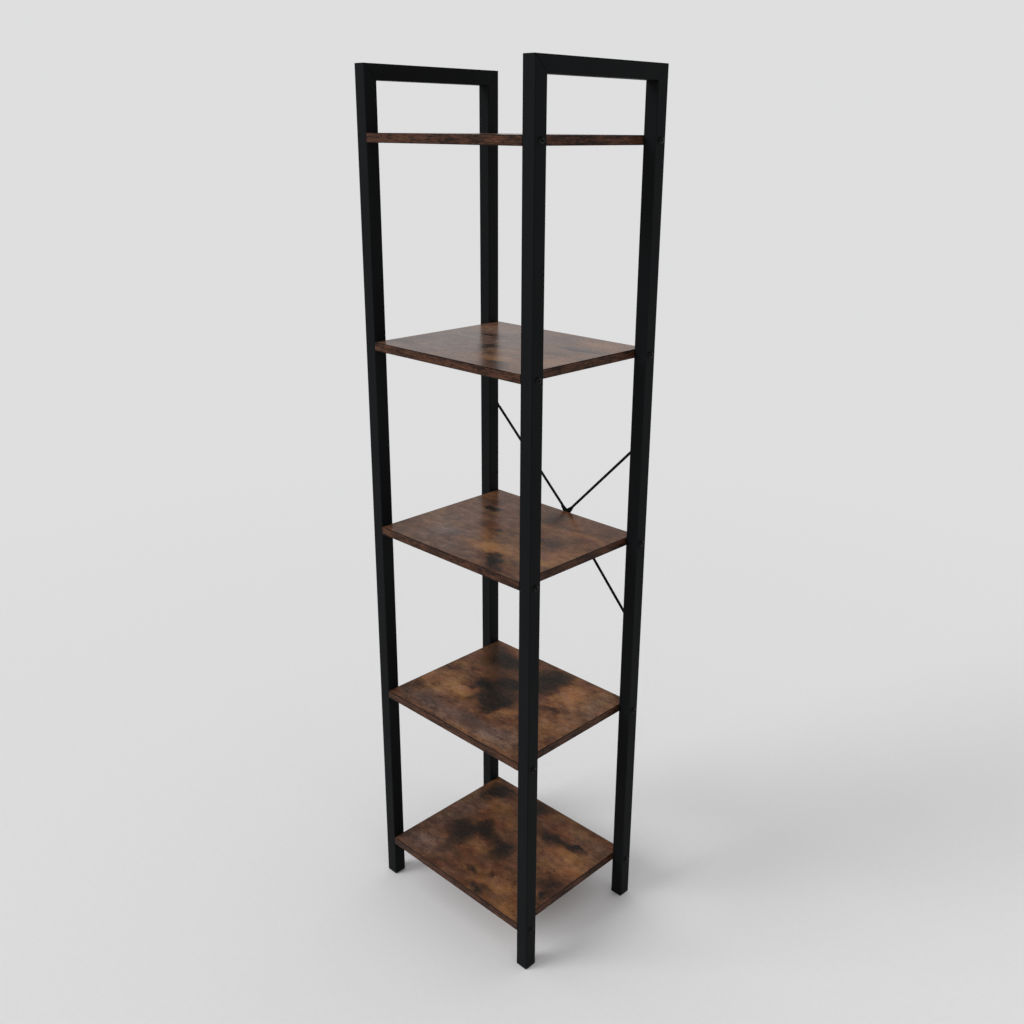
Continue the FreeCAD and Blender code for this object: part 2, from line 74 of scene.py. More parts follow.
class Finish:
    """One material, with a short way to add each kind of node that the finishes need."""

    def __init__(self, name):
        self.material = bpy.data.materials.new(name)
        self.material.use_nodes = True
        self.tree = self.material.node_tree
        self.tree.nodes.clear()
        self.output = self.node("ShaderNodeOutputMaterial")
        self.shader = self.node("ShaderNodeBsdfPrincipled")
        self.feed(self.output.inputs["Surface"], self.shader.outputs["BSDF"])
        self.place = self.node("ShaderNodeTexCoord").outputs["Object"]

    def node(self, kind, **settings):
        made = self.tree.nodes.new(kind)
        for name, value in settings.items():
            setattr(made, name, value)
        return made

    def feed(self, socket, value):
        """Links another node's output to a socket, or sets the socket to a plain value."""
        if isinstance(value, bpy.types.NodeSocket):
            self.tree.links.new(value, socket)
        else:
            socket.default_value = value

    def math(self, operation, *values):
        made = self.node("ShaderNodeMath", operation=operation)
        for socket, value in zip(made.inputs, values):
            self.feed(socket, value)
        return made.outputs["Value"]

    def vector(self, operation, *values):
        made = self.node("ShaderNodeVectorMath", operation=operation)
        for socket, value in zip(made.inputs, values):
            self.feed(socket, value)
        return made.outputs["Value" if operation == "LENGTH" else "Vector"]

    def weigh(self, start, *parts):
        """Adds to a start parts of other values, each given as a socket and its weight."""
        total = start
        for value, weight in parts:
            total = self.math("MULTIPLY_ADD", value, weight, total)
        return total

    def axes(self):
        """The x, y and z of the place on the surface, in metres."""
        made = self.node("ShaderNodeSeparateXYZ")
        self.feed(made.inputs["Vector"], self.place)
        return made.outputs["X"], made.outputs["Y"], made.outputs["Z"]

    def smooth(self, value, low, high, first=0.0, last=1.0):
        """Goes smoothly from first to last as value goes from low to high."""
        made = self.node("ShaderNodeMapRange", interpolation_type="SMOOTHSTEP")
        sockets = ("Value", "From Min", "From Max", "To Min", "To Max")
        for name, part in zip(sockets, (value, low, high, first, last)):
            self.feed(made.inputs[name], part)
        return made.outputs["Result"]

    def noise(self, place, stretch, detail=4.0, roughness=0.5, output="Fac"):
        """Soft noise, with stretch giving how many features fit in a metre along x, y and z."""
        made = self.node("ShaderNodeTexNoise")
        self.feed(made.inputs["Vector"], self.vector("MULTIPLY", place, stretch))
        made.inputs["Scale"].default_value = 1.0
        made.inputs["Detail"].default_value = detail
        made.inputs["Roughness"].default_value = roughness
        return made.outputs[output]

    def swing(self, place, stretch, detail, roughness):
        """Soft noise that swings about zero."""
        return self.math("SUBTRACT", self.noise(place, stretch, detail, roughness), 0.5)

    def mix(self, factor, first, second, blend="MIX"):
        made = self.node("ShaderNodeMix", data_type="RGBA", blend_type=blend)
        colours = [socket for socket in made.inputs if socket.type == "RGBA"]
        self.feed(made.inputs["Factor"], factor)
        self.feed(colours[0], first)
        self.feed(colours[1], second)
        return next(socket for socket in made.outputs if socket.type == "RGBA")

    def tint(self, colour, factor):
        """The colour made darker or lighter by a factor that varies over the surface."""
        return self.mix(1.0, colour, factor, "MULTIPLY")

    def enrich(self, colour, richness, hue):
        """The colour made greyer or stronger, and redder (below 0.5) or yellower, over the surface."""
        made = self.node("ShaderNodeHueSaturation")
        self.feed(made.inputs["Color"], colour)
        self.feed(made.inputs["Saturation"], richness)
        self.feed(made.inputs["Hue"], hue)
        return made.outputs["Color"]

    def bump(self, height, depth_mm, strength, under=None):
        made = self.node("ShaderNodeBump")
        made.inputs["Strength"].default_value = strength
        made.inputs["Distance"].default_value = depth_mm * MM
        self.feed(made.inputs["Height"], height)
        if under:
            self.feed(made.inputs["Normal"], under)
        return made.outputs["Normal"]

    def shade(self, colour, roughness, normal=None, **plain):
        """Joins colour, roughness and normal to the shader, and sets its other sockets to plain values."""
        self.feed(self.shader.inputs["Base Color"], colour)
        self.feed(self.shader.inputs["Roughness"], roughness)
        if normal:
            self.feed(self.shader.inputs["Normal"], normal)
        for name, value in plain.items():
            self.shader.inputs[name.replace("_", " ")].default_value = value
        return self.material


# Painted shadow along the creases of the frames' mitres, partly the coat pooled there: its core and its
# reach in mm, and the shade of its deep and faint places
CREASE_CORE = 0.5
CREASE_REACH = 2.1
CREASE_DEEP = 0.35
CREASE_FAINT = 0.80

# Powder coat: where the corners' lightening, rubbed wear and partly a painted highlight, is strongest, in
# mm, and how rough the coat is
RUB_AND_HIGHLIGHT_CORE = 0.2
FRAME_ROUGHNESS = 0.55
BRACE_ROUGHNESS = 0.48
POWDER_UNEVENNESS = 0.14


def mitre_shadow_and_pooled_coat(finish, y, z):
    """Darkens the crease along each mitre, where post and rail meet at 45 degrees, more in some places:
    painted shadow, partly the coat pooled in the crease.
    """
    from_back = finish.math("SUBTRACT", POST_OUTER_Y * MM, finish.math("ABSOLUTE", y))
    from_top = finish.math("SUBTRACT", HEIGHT * MM, z)
    aside = finish.math("ABSOLUTE", finish.math("SUBTRACT", from_top, from_back))
    change = finish.noise(finish.place, (80, 80, 80), 3.0)
    shade = finish.smooth(change, 0.40, 0.62, CREASE_DEEP, CREASE_FAINT)
    return finish.smooth(aside, CREASE_CORE * MM, CREASE_REACH * MM, shade, 1.0)


def edge_distance(finish, value, outer):
    """How far a place is, along one axis, from the nearer face of the tubes on both sides of the middle."""
    half = TUBE / 2 * MM
    to_axis = finish.math("SUBTRACT", finish.math("ABSOLUTE", value), outer * MM - half)
    return finish.math("ABSOLUTE", finish.math("SUBTRACT", finish.math("ABSOLUTE", to_axis), half))


def powder_coat(name, roughness):
    """Satin black powder coat: a fine grit, a slow ripple, and corners a little lighter, rubbed and partly
    a painted highlight along the edges.
    """
    finish = Finish(name)
    x, y, z = finish.axes()
    across_x = edge_distance(finish, x, POST_OUTER_X)
    across_y = edge_distance(finish, y, POST_OUTER_Y)
    from_corner = finish.math("MAXIMUM", across_x, across_y)
    # Lighter tube corners: rubbed wear, and partly a painted highlight along the edges
    corner = finish.smooth(from_corner, RUB_AND_HIGHLIGHT_CORE * MM, TUBE_CORNER * MM, 1.0, 0.0)
    patchy = finish.smooth(finish.noise(finish.place, (60, 60, 9), 5.0), 0.45, 0.75)
    worn_and_highlit = finish.math("MULTIPLY", corner, finish.weigh(0.2, (patchy, 0.5)))
    cloud = finish.smooth(finish.noise(finish.place, (14, 14, 5), 3.0), 0.3, 0.7, 0.0, 0.22)
    colour = finish.mix(finish.math("MAXIMUM", worn_and_highlit, cloud), POWDER_BLACK, POWDER_WEAR_AND_HIGHLIGHT)
    # Painted shadow along the mitre creases, partly pooled coat
    colour = finish.tint(colour, mitre_shadow_and_pooled_coat(finish, y, z))

    uneven = finish.noise(finish.place, (35, 35, 12), 3.0)
    varied = finish.weigh(roughness - POWDER_UNEVENNESS / 2, (uneven, POWDER_UNEVENNESS))
    ripple = finish.bump(finish.noise(finish.place, (220, 220, 220), 2.0), 0.05, 0.5)
    grit = finish.noise(finish.place, (1500, 1500, 1500), 2.0)
    normal = finish.bump(grit, 0.03, 0.55, ripple)
    return finish.shade(colour, varied, normal, Specular_IOR_Level=0.05)


# Patches of the laminate's print from above, some dark ones painted reflection: middle x and y and reach
# along x and y in mm, then strength
DARK_PRINT_AND_REFLECTION_PATCHES = {
    "bottom": [
        (-95, -28, 48, 38, 0.7), (-80, -85, 24, 48, 0.5), (-45, -5, 34, 20, 0.6), (10, -16, 34, 26, 0.7),
        (-70, 20, 26, 14, 0.6), (-140, 85, 28, 26, 0.7), (-130, 122, 46, 24, 0.7), (-30, 125, 36, 34, 0.7),
        (62, 76, 62, 19, 0.7), (118, 84, 26, 12, 0.6), (18, -103, 30, 10, 0.8), (46, -88, 14, 9, 0.7),
        (55, -133, 34, 14, 0.7), (150, -32, 38, 30, 0.6), (160, -66, 18, 15, 0.6), (10, -52, 40, 26, 0.4),
    ],
    "lower": [
        (-20, -4, 84, 60, 0.7), (-4, -30, 30, 24, 0.8), (-58, 0, 22, 12, 0.8), (4, -64, 20, 17, 0.7),
        (-22, 32, 28, 16, 0.6), (-90, 100, 40, 24, 0.6), (20, 106, 52, 44, 0.9), (42, 60, 26, 20, 0.7),
        (97, 20, 26, 14, 0.8), (-150, 126, 54, 32, 0.5), (-104, 76, 84, 46, 0.5), (-130, -68, 9, 6, 0.9),
        (-103, -55, 7, 4, 0.6), (-165, -6, 18, 10, 0.7), (-80, -24, 16, 8, 0.6), (-122, 26, 16, 8, 0.5),
        (-44, -56, 10, 14, 0.5), (-100, -112, 60, 22, 0.4), (20, -112, 60, 24, 0.45),
    ],
    "middle": [
        # A diagonal row here, from (-50, -4) to (104, -140), is painted reflection of the rear left post
        (66, -95, 18, 13, 0.8), (82, -118, 24, 17, 1.0), (104, -140, 30, 13, 0.7), (108, 8, 40, 30, 0.55),
        (25, 105, 44, 52, 0.6), (-98, 60, 20, 11, 0.9), (-130, 88, 34, 36, 0.5), (-12, -15, 14, 7, 0.8),
        (-50, -4, 34, 20, 0.5), (60, 4, 26, 18, 0.4), (140, 110, 34, 26, 0.4),
    ],
    "upper": [
        # A diagonal row here, from (-80, 42) to (124, -142), is painted reflection of the rear left post
        (-80, 42, 34, 17, 0.7), (-14, -32, 28, 20, 0.8), (26, -70, 24, 12, 0.5), (84, -118, 34, 20, 0.8),
        (124, -142, 26, 14, 0.6), (112, 50, 52, 10, 0.65), (114, 4, 30, 14, 0.4), (-140, -110, 44, 24, 0.5),
        (30, 110, 44, 28, 0.4), (120, 24, 80, 90, 0.25),
    ],
    "top": [
        (-112, 62, 72, 20, 0.7), (-70, 86, 32, 14, 0.6), (-150, 30, 26, 30, 0.4), (-44, -34, 50, 20, 0.7),
        (-6, -58, 28, 16, 0.6), (-80, -14, 30, 12, 0.5), (44, 18, 64, 17, 0.8), (92, 36, 28, 12, 0.6),
        (104, -82, 54, 22, 0.7), (66, -108, 28, 13, 0.6), (146, 84, 40, 18, 0.5), (-20, 124, 54, 15, 0.5),
        (-140, -104, 40, 22, 0.5), (20, -130, 36, 9, 0.6),
    ],
}
GOLD_PATCHES = {
    "bottom": [
        (-105, 82, 40, 18, 0.7), (-40, -48, 30, 22, 0.7), (80, -104, 66, 30, 0.8), (130, 42, 60, 40, 1.2),
        (-60, 46, 60, 26, 0.4), (85, 122, 70, 24, 0.4), (146, -144, 40, 22, 0.9), (-125, -92, 44, 32, 0.4),
    ],
    "lower": [
        (-108, -48, 72, 28, 1.5), (84, 94, 34, 56, 1.0), (48, -45, 26, 18, 0.9), (128, -22, 40, 34, 0.6),
        (60, -140, 62, 10, 0.8), (32, -72, 22, 8, 0.7), (-132, -76, 32, 14, 0.6), (-124, 20, 44, 14, 0.4),
        (130, 70, 56, 70, 0.5), (-130, -20, 50, 20, 0.5),
    ],
    "middle": [
        (66, -72, 50, 26, 1.1), (20, -82, 40, 24, 0.9), (-8, -46, 26, 12, 0.6), (150, -42, 34, 60, 0.9),
        (62, 118, 40, 24, 0.5), (-135, -58, 44, 34, 0.5), (130, 76, 50, 12, 0.5), (60, 62, 50, 14, 0.5),
        (-96, -20, 84, 90, 0.35),
    ],
    "upper": [
        (70, -90, 40, 14, 0.9), (30, -40, 30, 14, 0.7), (130, 110, 50, 34, 0.7), (-120, 90, 50, 30, 0.5),
        (150, -60, 30, 50, 0.6),
    ],
    "top": [
        (-140, 0, 44, 34, 0.9), (-10, -30, 50, 24, 0.8), (120, 0, 54, 24, 0.9), (60, 110, 60, 24, 0.7),
        (-80, -120, 50, 20, 0.8), (150, -130, 40, 24, 0.7),
    ],
}
# Greyer places of the print; the large ones on the left of the middle and upper shelves are painted
# reflection of the pale surroundings
GREY_PRINT_AND_REFLECTION_PATCHES = {
    "bottom": [
        (-150, -130, 50, 34, 0.5), (-150, -10, 36, 110, 0.5), (-100, -110, 50, 30, 0.5),
        (140, 110, 50, 34, 0.4),
    ],
    "lower": [
        (-96, -120, 74, 22, 0.7), (0, -120, 74, 26, 0.6), (88, -112, 52, 34, 0.8), (150, 60, 30, 80, 0.35),
    ],
    "middle": [
        # The large patch at (-110, -30) is painted reflection of the pale surroundings
        (-85, -82, 34, 24, 0.8), (-50, -66, 36, 18, 0.6), (-110, -30, 80, 110, 0.6),
        (-20, -124, 90, 30, 0.6),
    ],
    # This large patch over the left is painted reflection of the pale surroundings
    "upper": [(-110, -20, 140, 160, 0.95)],
    "top": [(-100, 130, 60, 26, 0.6), (60, -60, 50, 30, 0.6), (150, 110, 40, 34, 0.5)],
}

# How many times its reach away a patch has faded out
PATCH_FADE = 1.6

# Range in metres within which noise pushes the patches' outlines about
SWIRL_REACH = (0.060, 0.045, 0.0)

# Tone of each shelf's print from dark (0) to light (1), from the upper shelf down partly painted shade that
# darkens towards the floor, and how strongly the clouds change it
SHELF_TONES_WITH_PAINTED_SHADE = {"bottom": 0.49, "lower": 0.55, "middle": 0.545, "upper": 0.60, "top": 0.52}
LIVELINESS = {"bottom": 0.74, "lower": 1.00, "middle": 0.78, "upper": 0.66, "top": 0.85}

# How much the smaller parts of the print and the patches, partly painted reflection, lighten or darken the
# tone
GRAIN_TONES = {"fleck": 0.38, "streak": 0.12, "ring": -0.03, "pore": -0.09, "speck": -0.11}
GOLD_TONE = 0.26
DARK_TONE = -0.40

# Hue of the print, where 0.5 is the written colour
PRINT_HUE = 0.498
HUE_SWING = 0.009

# How many growth rings the noise is cut into, and where in the noise each shelf's print lies
RINGS = 14.0
PRINT_OFFSETS = {"bottom": 0.0, "lower": 1.7, "middle": 3.1, "upper": 4.9, "top": 6.3}
SECOND_PLACE = (2.3, 1.1, 0.7)


def patch_field(finish, place, patches):
    """Adds up soft elliptical patches: 1 or so at the middle of a strong one, 0 away from them all."""
    total = 0.0
    for x, y, reach_x, reach_y, strength in patches:
        share = (1 / (reach_x * MM), 1 / (reach_y * MM), 0.0)
        shift = (-x / reach_x, -y / reach_y, 0.0)
        away = finish.vector("LENGTH", finish.vector("MULTIPLY_ADD", place, share, shift))
        total = finish.math("ADD", finish.smooth(away, 0.0, PATCH_FADE, strength, 0.0), total)
    return total


def print_grain(finish, seeded, elsewhere):
    """The print's small parts: the first four swing about zero, and the others go from 0 to 1."""
    rings = finish.math("MULTIPLY", finish.noise(seeded, (3.5, 26, 1), 3.0), RINGS)
    pores = finish.noise(seeded, (60, 1000, 1), 3.0)
    specks = finish.noise(elsewhere, (95, 150, 1), 3.0, 0.55)
    return {
        "cloud": finish.swing(seeded, (38, 60, 1), 7.0, 0.63),
        "fleck": finish.swing(seeded, (170, 340, 1), 5.0, 0.66),
        "streak": finish.swing(seeded, (14, 300, 1), 5.0, 0.6),
        "richness": finish.swing(elsewhere, (26, 44, 1), 5.0, 0.6),
        "ring": finish.smooth(finish.math("PINGPONG", rings, 0.5), 0.0, 0.16, 1.0, 0.0),
        "pore": finish.smooth(pores, 0.57, 0.68),
        "speck": finish.smooth(specks, 0.60, 0.70),
    }


def print_patches(finish, level, flat, seeded, grain):
    """How dark, golden and grey the print is, in patches that the grain stirs and breaks up; some dark and
    grey patches are painted reflection.
    """
    swirl = finish.noise(seeded, (30, 40, 1), 5.0, 0.6, "Color")
    swirl = finish.vector("SUBTRACT", swirl, (0.5, 0.5, 0.5))
    warped = finish.vector("ADD", flat, finish.vector("MULTIPLY", swirl, SWIRL_REACH))
    broken = finish.weigh(1.0, (grain["cloud"], 2.4), (grain["fleck"], 2.4))
    dark = finish.math("MULTIPLY", patch_field(finish, warped, DARK_PRINT_AND_REFLECTION_PATCHES[level]), broken)
    uneven = finish.weigh(1.0, (grain["richness"], 1.6), (grain["fleck"], 0.9))
    gold = finish.math("MULTIPLY", patch_field(finish, warped, GOLD_PATCHES[level]), uneven)
    grey = patch_field(finish, warped, GREY_PRINT_AND_REFLECTION_PATCHES[level])
    return finish.smooth(dark, 0.19, 0.90), gold, grey


def wood_colour(finish, tone):
    """The colour that the print has at a tone."""
    ramp = finish.node("ShaderNodeValToRGB")
    stops = ramp.color_ramp.elements
    while len(stops) < len(WOOD_TONES):
        stops.new(0.5)
    for stop, (position, colour) in zip(stops, WOOD_TONES):
        stop.position = position
        stop.color = colour
    finish.feed(ramp.inputs["Fac"], tone)
    return ramp.outputs["Color"]


def rustic_laminate(level):
    """Semi-gloss printed laminate with the grain along x, and each kind of patch in its places."""
    finish = Finish(f"rustic_{level}")
    offset = PRINT_OFFSETS[level]
    flat = finish.vector("MULTIPLY", finish.place, (1.0, 1.0, 0.0))
    seeded = finish.vector("ADD", flat, (offset, offset * 0.6, offset * 0.3))
    elsewhere = finish.vector("ADD", seeded, SECOND_PLACE)
    grain = print_grain(finish, seeded, elsewhere)
    dark, gold, grey = print_patches(finish, level, flat, seeded, grain)

    # Each shelf's own tone, partly painted shade: darker on the shelves nearer the floor
    tone = finish.weigh(SHELF_TONES_WITH_PAINTED_SHADE[level], (grain["cloud"], LIVELINESS[level]))
    tone = finish.weigh(tone, *[(grain[part], weight) for part, weight in GRAIN_TONES.items()])
    tone = finish.weigh(tone, (gold, GOLD_TONE), (dark, DARK_TONE))
    richness = finish.weigh(0.93, (grain["richness"], 0.55), (gold, 0.06), (grey, -0.42))
    richness = finish.smooth(richness, 0.2, 1.3, 0.55, 1.30)
    yellowness = finish.noise(elsewhere, (17, 27, 1), 6.0, 0.62)
    yellowness = finish.weigh(yellowness, (gold, 0.05), (grey, -0.05))
    hue = finish.smooth(yellowness, 0.30, 0.70, PRINT_HUE - HUE_SWING, PRINT_HUE + HUE_SWING)
    colour = finish.enrich(wood_colour(finish, tone), richness, hue)

    roughness = finish.weigh(0.25, (grain["streak"], 0.10))
    relief = finish.weigh(grain["streak"], (grain["pore"], -0.6))
    return finish.shade(colour, roughness, finish.bump(relief, 0.05, 0.35), Specular_IOR_Level=0.18)


# Dark line along an edge band's rims: how far from the faces it starts and is full, in mm, and its shade
BAND_LINE_START = 1.9
BAND_LINE_FULL = 0.5
BAND_LINE_SHADE = 0.25


def band_line(finish, level):
    """Darkens the two rims of a shelf's edge bands, where they meet the board's faces."""
    half = BOARD_THICKNESS / 2
    z = finish.axes()[2]
    middle = (SHELF_TOPS[level] - half) * MM
    from_middle = finish.math("ABSOLUTE", finish.math("SUBTRACT", z, middle))
    start = (half - BAND_LINE_START) * MM
    full = (half - BAND_LINE_FULL) * MM
    return finish.smooth(from_middle, start, full, 1.0, BAND_LINE_SHADE)


def edge_band(level):
    """Printed edge strip: fine dark streaks along the edge, and a thin dark line at both rims."""
    finish = Finish(f"edge_band_{level}")
    offset = PRINT_OFFSETS[level]
    seeded = finish.vector("ADD", finish.place, (offset, offset, 0.0))
    streak = finish.noise(seeded, (26, 26, 300), 4.0, 0.62)
    dash = finish.noise(seeded, (95, 95, 620), 4.0, 0.65)
    cloud = finish.noise(seeded, (22, 22, 60), 3.0)
    mixed = finish.weigh(0.0, (streak, 0.5), (dash, 0.6), (cloud, 0.35))
    colour = finish.mix(finish.smooth(mixed, 0.60, 0.86), BAND_DARK, BAND_LIGHT)
    colour = finish.tint(colour, band_line(finish, level))
    roughness = finish.weigh(0.30, (streak, 0.16))
    return finish.shade(colour, roughness, finish.bump(streak, 0.05, 0.4), Specular_IOR_Level=0.08)


def bolt_steel():
    """Blackened steel, rubbed a little lighter where a key or a hand has been."""
    finish = Finish("bolt_black")
    rubbed = finish.smooth(finish.noise(finish.place, (420, 420, 420), 4.0), 0.50, 0.72, 0.0, 0.6)
    colour = finish.mix(rubbed, BOLT_BLACK, BOLT_RUBBED)
    roughness = finish.weigh(0.28, (finish.noise(finish.place, (300, 300, 300), 3.0), 0.18))
    grit = finish.noise(finish.place, (1800, 1800, 1800), 2.0)
    return finish.shade(colour, roughness, finish.bump(grit, 0.02, 0.4), Specular_IOR_Level=0.10)


def insert_zinc():
    """Zinc-plated steel with a dull bloom."""
    finish = Finish("insert_zinc")
    bloom = finish.smooth(finish.noise(finish.place, (160, 160, 160), 4.0), 0.4, 0.65)
    colour = finish.mix(bloom, ZINC, ZINC_DULL)
    roughness = finish.weigh(0.28, (bloom, 0.2))
    grit = finish.noise(finish.place, (900, 900, 900), 2.0)
    return finish.shade(colour, roughness, finish.bump(grit, 0.02, 0.3), Metallic=1.0)


# How far up the plugs are scuffed, in mm
SCUFF_HEIGHT = 2.5


def plug_plastic():
    """Moulded black plastic with a fine grain, scuffed pale near the floor."""
    finish = Finish("plug_plastic")
    z = finish.axes()[2]
    low = finish.smooth(z, 0.0, SCUFF_HEIGHT * MM, 1.0, 0.0)
    scuff = finish.smooth(finish.noise(finish.place, (260, 260, 700), 4.0), 0.5, 0.7)
    colour = finish.mix(finish.math("MULTIPLY", low, scuff), PLASTIC_BLACK, PLASTIC_SCUFFED)
    grain = finish.noise(finish.place, (1100, 1100, 1100), 2.0)
    roughness = finish.weigh(0.45, (grain, 0.15))
    return finish.shade(colour, roughness, finish.bump(grain, 0.04, 0.5), Specular_IOR_Level=0.35)


def paint(node_name, material):
    for slot in nodes[node_name].material_slots:
        slot.material = material


def paint_all():
    """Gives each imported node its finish, and returns the frame's own for the seams."""
    frame_black = powder_coat("frame_black", FRAME_ROUGHNESS)
    brace_black = powder_coat("brace_black", BRACE_ROUGHNESS)
    bolt_black = bolt_steel()
    zinc = insert_zinc()
    plastic = plug_plastic()
    for side in ("left", "right"):
        paint(f"{side}_top_rail", frame_black)
        for depth in ("front", "rear"):
            paint(f"{side}_{depth}_post", frame_black)
            paint(f"{side}_{depth}_foot_plug", plastic)
    for level in SHELF_TOPS:
        paint(f"{level}_shelf_board", rustic_laminate(level))
        paint(f"{level}_shelf_edge_bands", edge_band(level))
        paint(f"{level}_shelf_inserts", zinc)
        paint(f"{level}_shelf_bolts", bolt_black)
    for name in ("falling_brace_rod", "rising_brace_rod"):
        paint(name, brace_black)
    for name in ("brace_centre_screw", "brace_centre_nut", "brace_end_screws"):
        paint(name, bolt_black)
    paint("brace_rivet_nuts", zinc)
    return frame_black


# Ground weld seams across the side faces at the frames' top corners, in mm and degrees
SEAM_WIDTH = 1.5
SEAM_HEIGHT = 0.22
SEAM_SINK = 0.05
SEAM_INSET = 0.4 * TUBE_CORNER
SEAM_STEPS = 28
SEAM_PROFILE = 6
SEAM_RIPPLES = 13
SEAM_RIPPLE_SIZE = 0.12
SEAM_TIP_SIZE = 0.02
SEAM_SHARP = 60.0


def seam_size(step):
    """Share of the full size that a bead has at a step: rippled, and drawn in at both tips."""
    along = step / SEAM_STEPS
    taper = math.sqrt(math.sin(math.pi * along)) if 0 < step < SEAM_STEPS else SEAM_TIP_SIZE
    return taper * (1.0 + SEAM_RIPPLE_SIZE * math.sin(2 * math.pi * SEAM_RIPPLES * along))


def seam_face(points, faces, face_x, outward, back):
    """One low bead along the mitre, closed by a flat base a little below the face at x."""
    base = face_x - outward * SEAM_SINK
    start = Vector((base, back * (POST_OUTER_Y - SEAM_INSET), HEIGHT - SEAM_INSET))
    run = Vector((0.0, -back, -1.0)) * (TUBE - 2 * SEAM_INSET)
    across = Vector((0.0, back, -1.0)).normalized()
    first = len(points)
    row = SEAM_PROFILE + 1
    for step in range(SEAM_STEPS + 1):
        size = seam_size(step)
        centre = start + run * (step / SEAM_STEPS)
        for spot in range(row):
            angle = math.pi * spot / SEAM_PROFILE
            aside = across * (SEAM_WIDTH / 2 * size * math.cos(angle))
            rise = (SEAM_HEIGHT + SEAM_SINK) * size * math.sin(angle)
            points.append((centre + aside + Vector((outward * rise, 0.0, 0.0))) * MM)
    for step in range(SEAM_STEPS):
        for spot in range(row):
            here = first + step * row + spot
            beside = first + step * row + (spot + 1) % row
            faces.append((here, beside, beside + row, here + row))
    last = first + SEAM_STEPS * row
    faces.append(tuple(range(first, first + row)))
    faces.append(tuple(range(last, last + row)))


def turn_outward(mesh):
    """Makes every face of a closed mesh look outward."""
    shape = bmesh.new()
    shape.from_mesh(mesh)
    bmesh.ops.recalc_face_normals(shape, faces=shape.faces)
    shape.to_mesh(mesh)
    shape.free()


def weld_seams(material):
    """One piece for each top corner, with a bead on the tube's outer and inner side face."""
    for side, sign in (("left", -1), ("right", 1)):
        for depth, back in (("front", -1), ("rear", 1)):
            points = []
            faces = []
            seam_face(points, faces, sign * POST_OUTER_X, sign, back)
            seam_face(points, faces, sign * (POST_OUTER_X - TUBE), -sign, back)
            mesh = bpy.data.meshes.new(f"{side}_{depth}_weld_seam")
            mesh.from_pydata(points, [], faces)
            turn_outward(mesh)
            mesh.materials.append(material)
            mesh.shade_smooth()
            mesh.set_sharp_from_angle(angle=math.radians(SEAM_SHARP))
            seam = bpy.data.objects.new(mesh.name, mesh)
            bpy.context.scene.collection.objects.link(seam)
            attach(seam, "root")


# Stage: a plain pale floor that fades into the background, in metres
FLOOR_HALF = 9.0
FADE_NEAR = 1.3
FADE_FAR = 3.4
FLOOR_ROUGHNESS = 0.75


def floor_finish():
    """A pale matt floor that turns into the background's own colour far from the object."""
    finish = Finish("floor")
    speck = finish.noise(finish.place, (90, 90, 1), 5.0)
    colour = finish.tint(FLOOR_PALE, finish.smooth(speck, 0.3, 0.7, 0.985, 1.0))
    finish.shade(colour, FLOOR_ROUGHNESS, Specular_IOR_Level=0.2)
    glow = finish.node("ShaderNodeEmission")
    glow.inputs["Color"].default_value = BACKGROUND_PALE
    away = finish.vector("LENGTH", finish.vector("MULTIPLY", finish.place, (1.0, 1.0, 0.0)))
    blend = finish.node("ShaderNodeMixShader")
    finish.feed(blend.inputs["Fac"], finish.smooth(away, FADE_NEAR, FADE_FAR))
    finish.feed(blend.inputs[1], finish.shader.outputs["BSDF"])
    finish.feed(blend.inputs[2], glow.outputs["Emission"])
    finish.feed(finish.output.inputs["Surface"], blend.outputs["Shader"])
    return finish.material


def make_floor():
    mesh = bpy.data.meshes.new("floor")
    corners = [(x * FLOOR_HALF, y * FLOOR_HALF, 0) for x, y in ((-1, -1), (1, -1), (1, 1), (-1, 1))]
    mesh.from_pydata(corners, [], [(0, 1, 2, 3)])
    mesh.materials.append(floor_finish())
    floor = bpy.data.objects.new("floor", mesh)
    bpy.context.scene.collection.objects.link(floor)


# Surroundings: the fill's strength, and between which heights of view the backdrop turns into the ceiling
FILL_STRENGTH = 0.68
BACKDROP_TOP = 0.20
CEILING_START = 0.52


def make_world():
    """An even soft fill; the camera sees the pale background, and mirrored rays a darker ceiling too."""
    world = bpy.data.worlds.new("studio")
    bpy.context.scene.world = world
    world.use_nodes = True
    tree = world.node_tree
    tree.nodes.clear()

    def add(kind, **inputs):
        made = tree.nodes.new(kind)
        for name, value in inputs.items():
            socket = made.inputs[name]
            if isinstance(value, bpy.types.NodeSocket):
                tree.links.new(value, socket)
            else:
                socket.default_value = value
        return made

    def choose(factor, first, second):
        made = add("ShaderNodeMixShader", Fac=factor)
        tree.links.new(first.outputs[0], made.inputs[1])
        tree.links.new(second.outputs[0], made.inputs[2])
        return made

    direction = add("ShaderNodeSeparateXYZ", Vector=add("ShaderNodeTexCoord").outputs["Generated"])
    shade = add("ShaderNodeValToRGB", Fac=direction.outputs["Z"])
    shade.color_ramp.interpolation = "EASE"
    shades = ((BACKDROP_TOP, BACKGROUND_PALE), (CEILING_START, CEILING_GREY))
    for stop, (position, colour) in zip(shade.color_ramp.elements, shades):
        stop.position = position
        stop.color = colour
    fill = add("ShaderNodeBackground", Color=LIGHT_WHITE, Strength=FILL_STRENGTH)
    mirrored = add("ShaderNodeBackground", Color=shade.outputs["Color"], Strength=1.0)
    shown = add("ShaderNodeBackground", Color=BACKGROUND_PALE, Strength=1.0)
    path = add("ShaderNodeLightPath").outputs
    mixed = choose(path["Is Glossy Ray"], fill, mirrored)
    mixed = choose(path["Is Transmission Ray"], mixed, shown)
    mixed = choose(path["Is Camera Ray"], mixed, shown)
    add("ShaderNodeOutputWorld", Surface=mixed.outputs["Shader"])


# Main light: the way towards it, its width in degrees, its strength, and the lamp's distance in metres
WINDOW_FROM = (-0.45, -0.75, 0.52)
WINDOW_SPREAD = 30.0
WINDOW_STRENGTH = 1.5
WINDOW_DISTANCE = 5.0


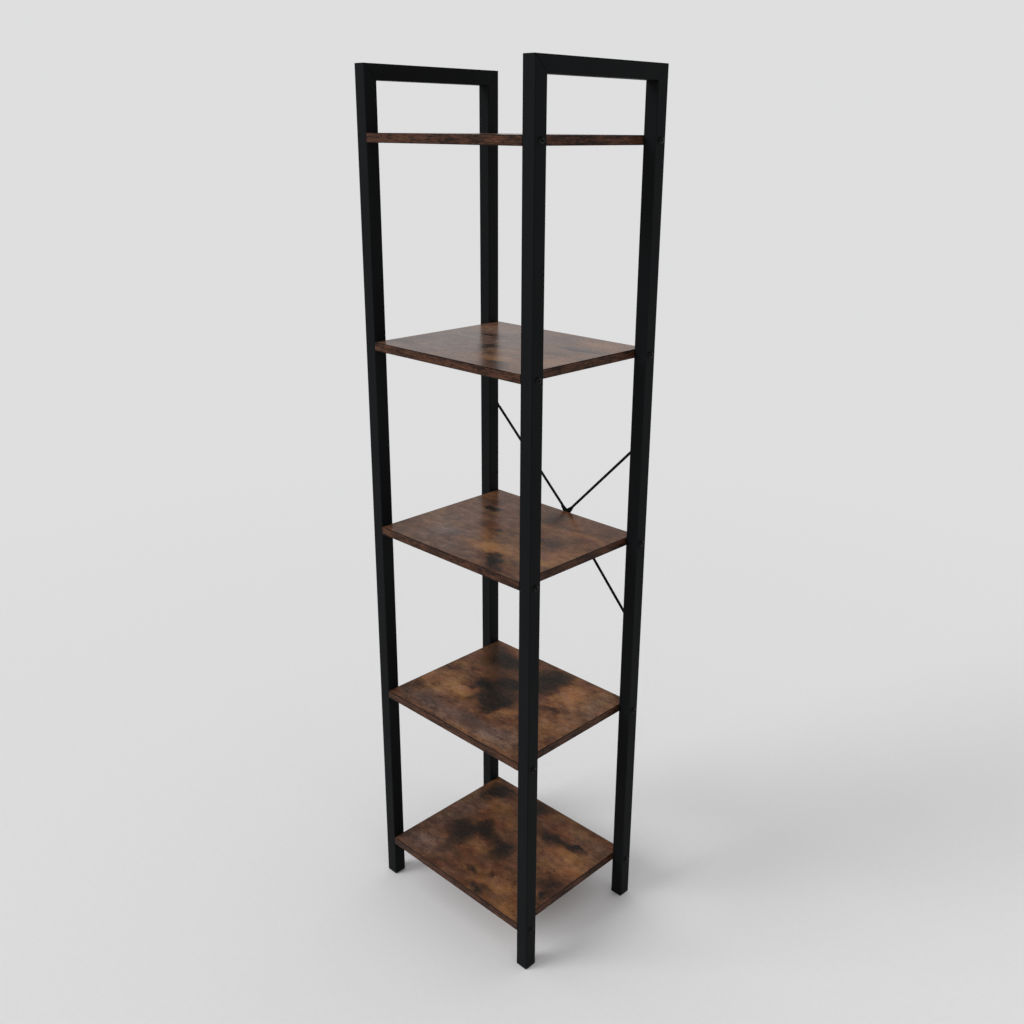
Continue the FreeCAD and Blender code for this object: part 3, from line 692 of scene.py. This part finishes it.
def make_window():
    """Soft light from the front left, wide as a window."""
    light = bpy.data.lights.new("window", "SUN")
    light.angle = math.radians(WINDOW_SPREAD)
    light.energy = WINDOW_STRENGTH
    lamp = bpy.data.objects.new("window", light)
    lamp.location = Vector(WINDOW_FROM) * WINDOW_DISTANCE
    lamp.rotation_euler = (-Vector(WINDOW_FROM)).to_track_quat("-Z", "Y").to_euler()
    bpy.context.scene.collection.objects.link(lamp)


# Camera as the photograph was taken: place in metres, angles in degrees, lens and sensor in mm
CAMERA_PLACE = (1.247183, -1.253406, 1.462153)
CAMERA_AZIMUTH = 43.908
CAMERA_DOWN = 19.345
CAMERA_ROLL = -0.464
CAMERA_LENS = 36.618
CAMERA_SENSOR = 36.0
CAMERA_SHIFT = (-0.01172, -0.01661)
CAMERA_NEAR = 0.05
CAMERA_FAR = 60.0


def camera_turn():
    """The camera's own right, up and backward ways, as a turning matrix."""
    azimuth, down, roll = (math.radians(a) for a in (CAMERA_AZIMUTH, CAMERA_DOWN, CAMERA_ROLL))
    ahead = Vector((-math.sin(azimuth), math.cos(azimuth), 0.0))
    forward = ahead * math.cos(down) - Vector((0.0, 0.0, math.sin(down)))
    level = forward.cross(Vector((0.0, 0.0, 1.0))).normalized()
    below = forward.cross(level)
    right = level * math.cos(roll) + below * math.sin(roll)
    up = level * math.sin(roll) - below * math.cos(roll)
    return Matrix((right, up, -forward)).transposed().to_4x4()


def make_camera():
    data = bpy.data.cameras.new("camera")
    data.sensor_width = CAMERA_SENSOR
    data.lens = CAMERA_LENS
    data.shift_x, data.shift_y = CAMERA_SHIFT
    data.clip_start = CAMERA_NEAR
    data.clip_end = CAMERA_FAR
    camera = bpy.data.objects.new("camera", data)
    camera.matrix_world = Matrix.Translation(CAMERA_PLACE) @ camera_turn()
    bpy.context.scene.collection.objects.link(camera)
    bpy.context.scene.camera = camera


make_camera()
frame_black = paint_all()
weld_seams(frame_black)
make_floor()
make_world()
make_window()
bpy.context.scene.view_settings.view_transform = "Standard"
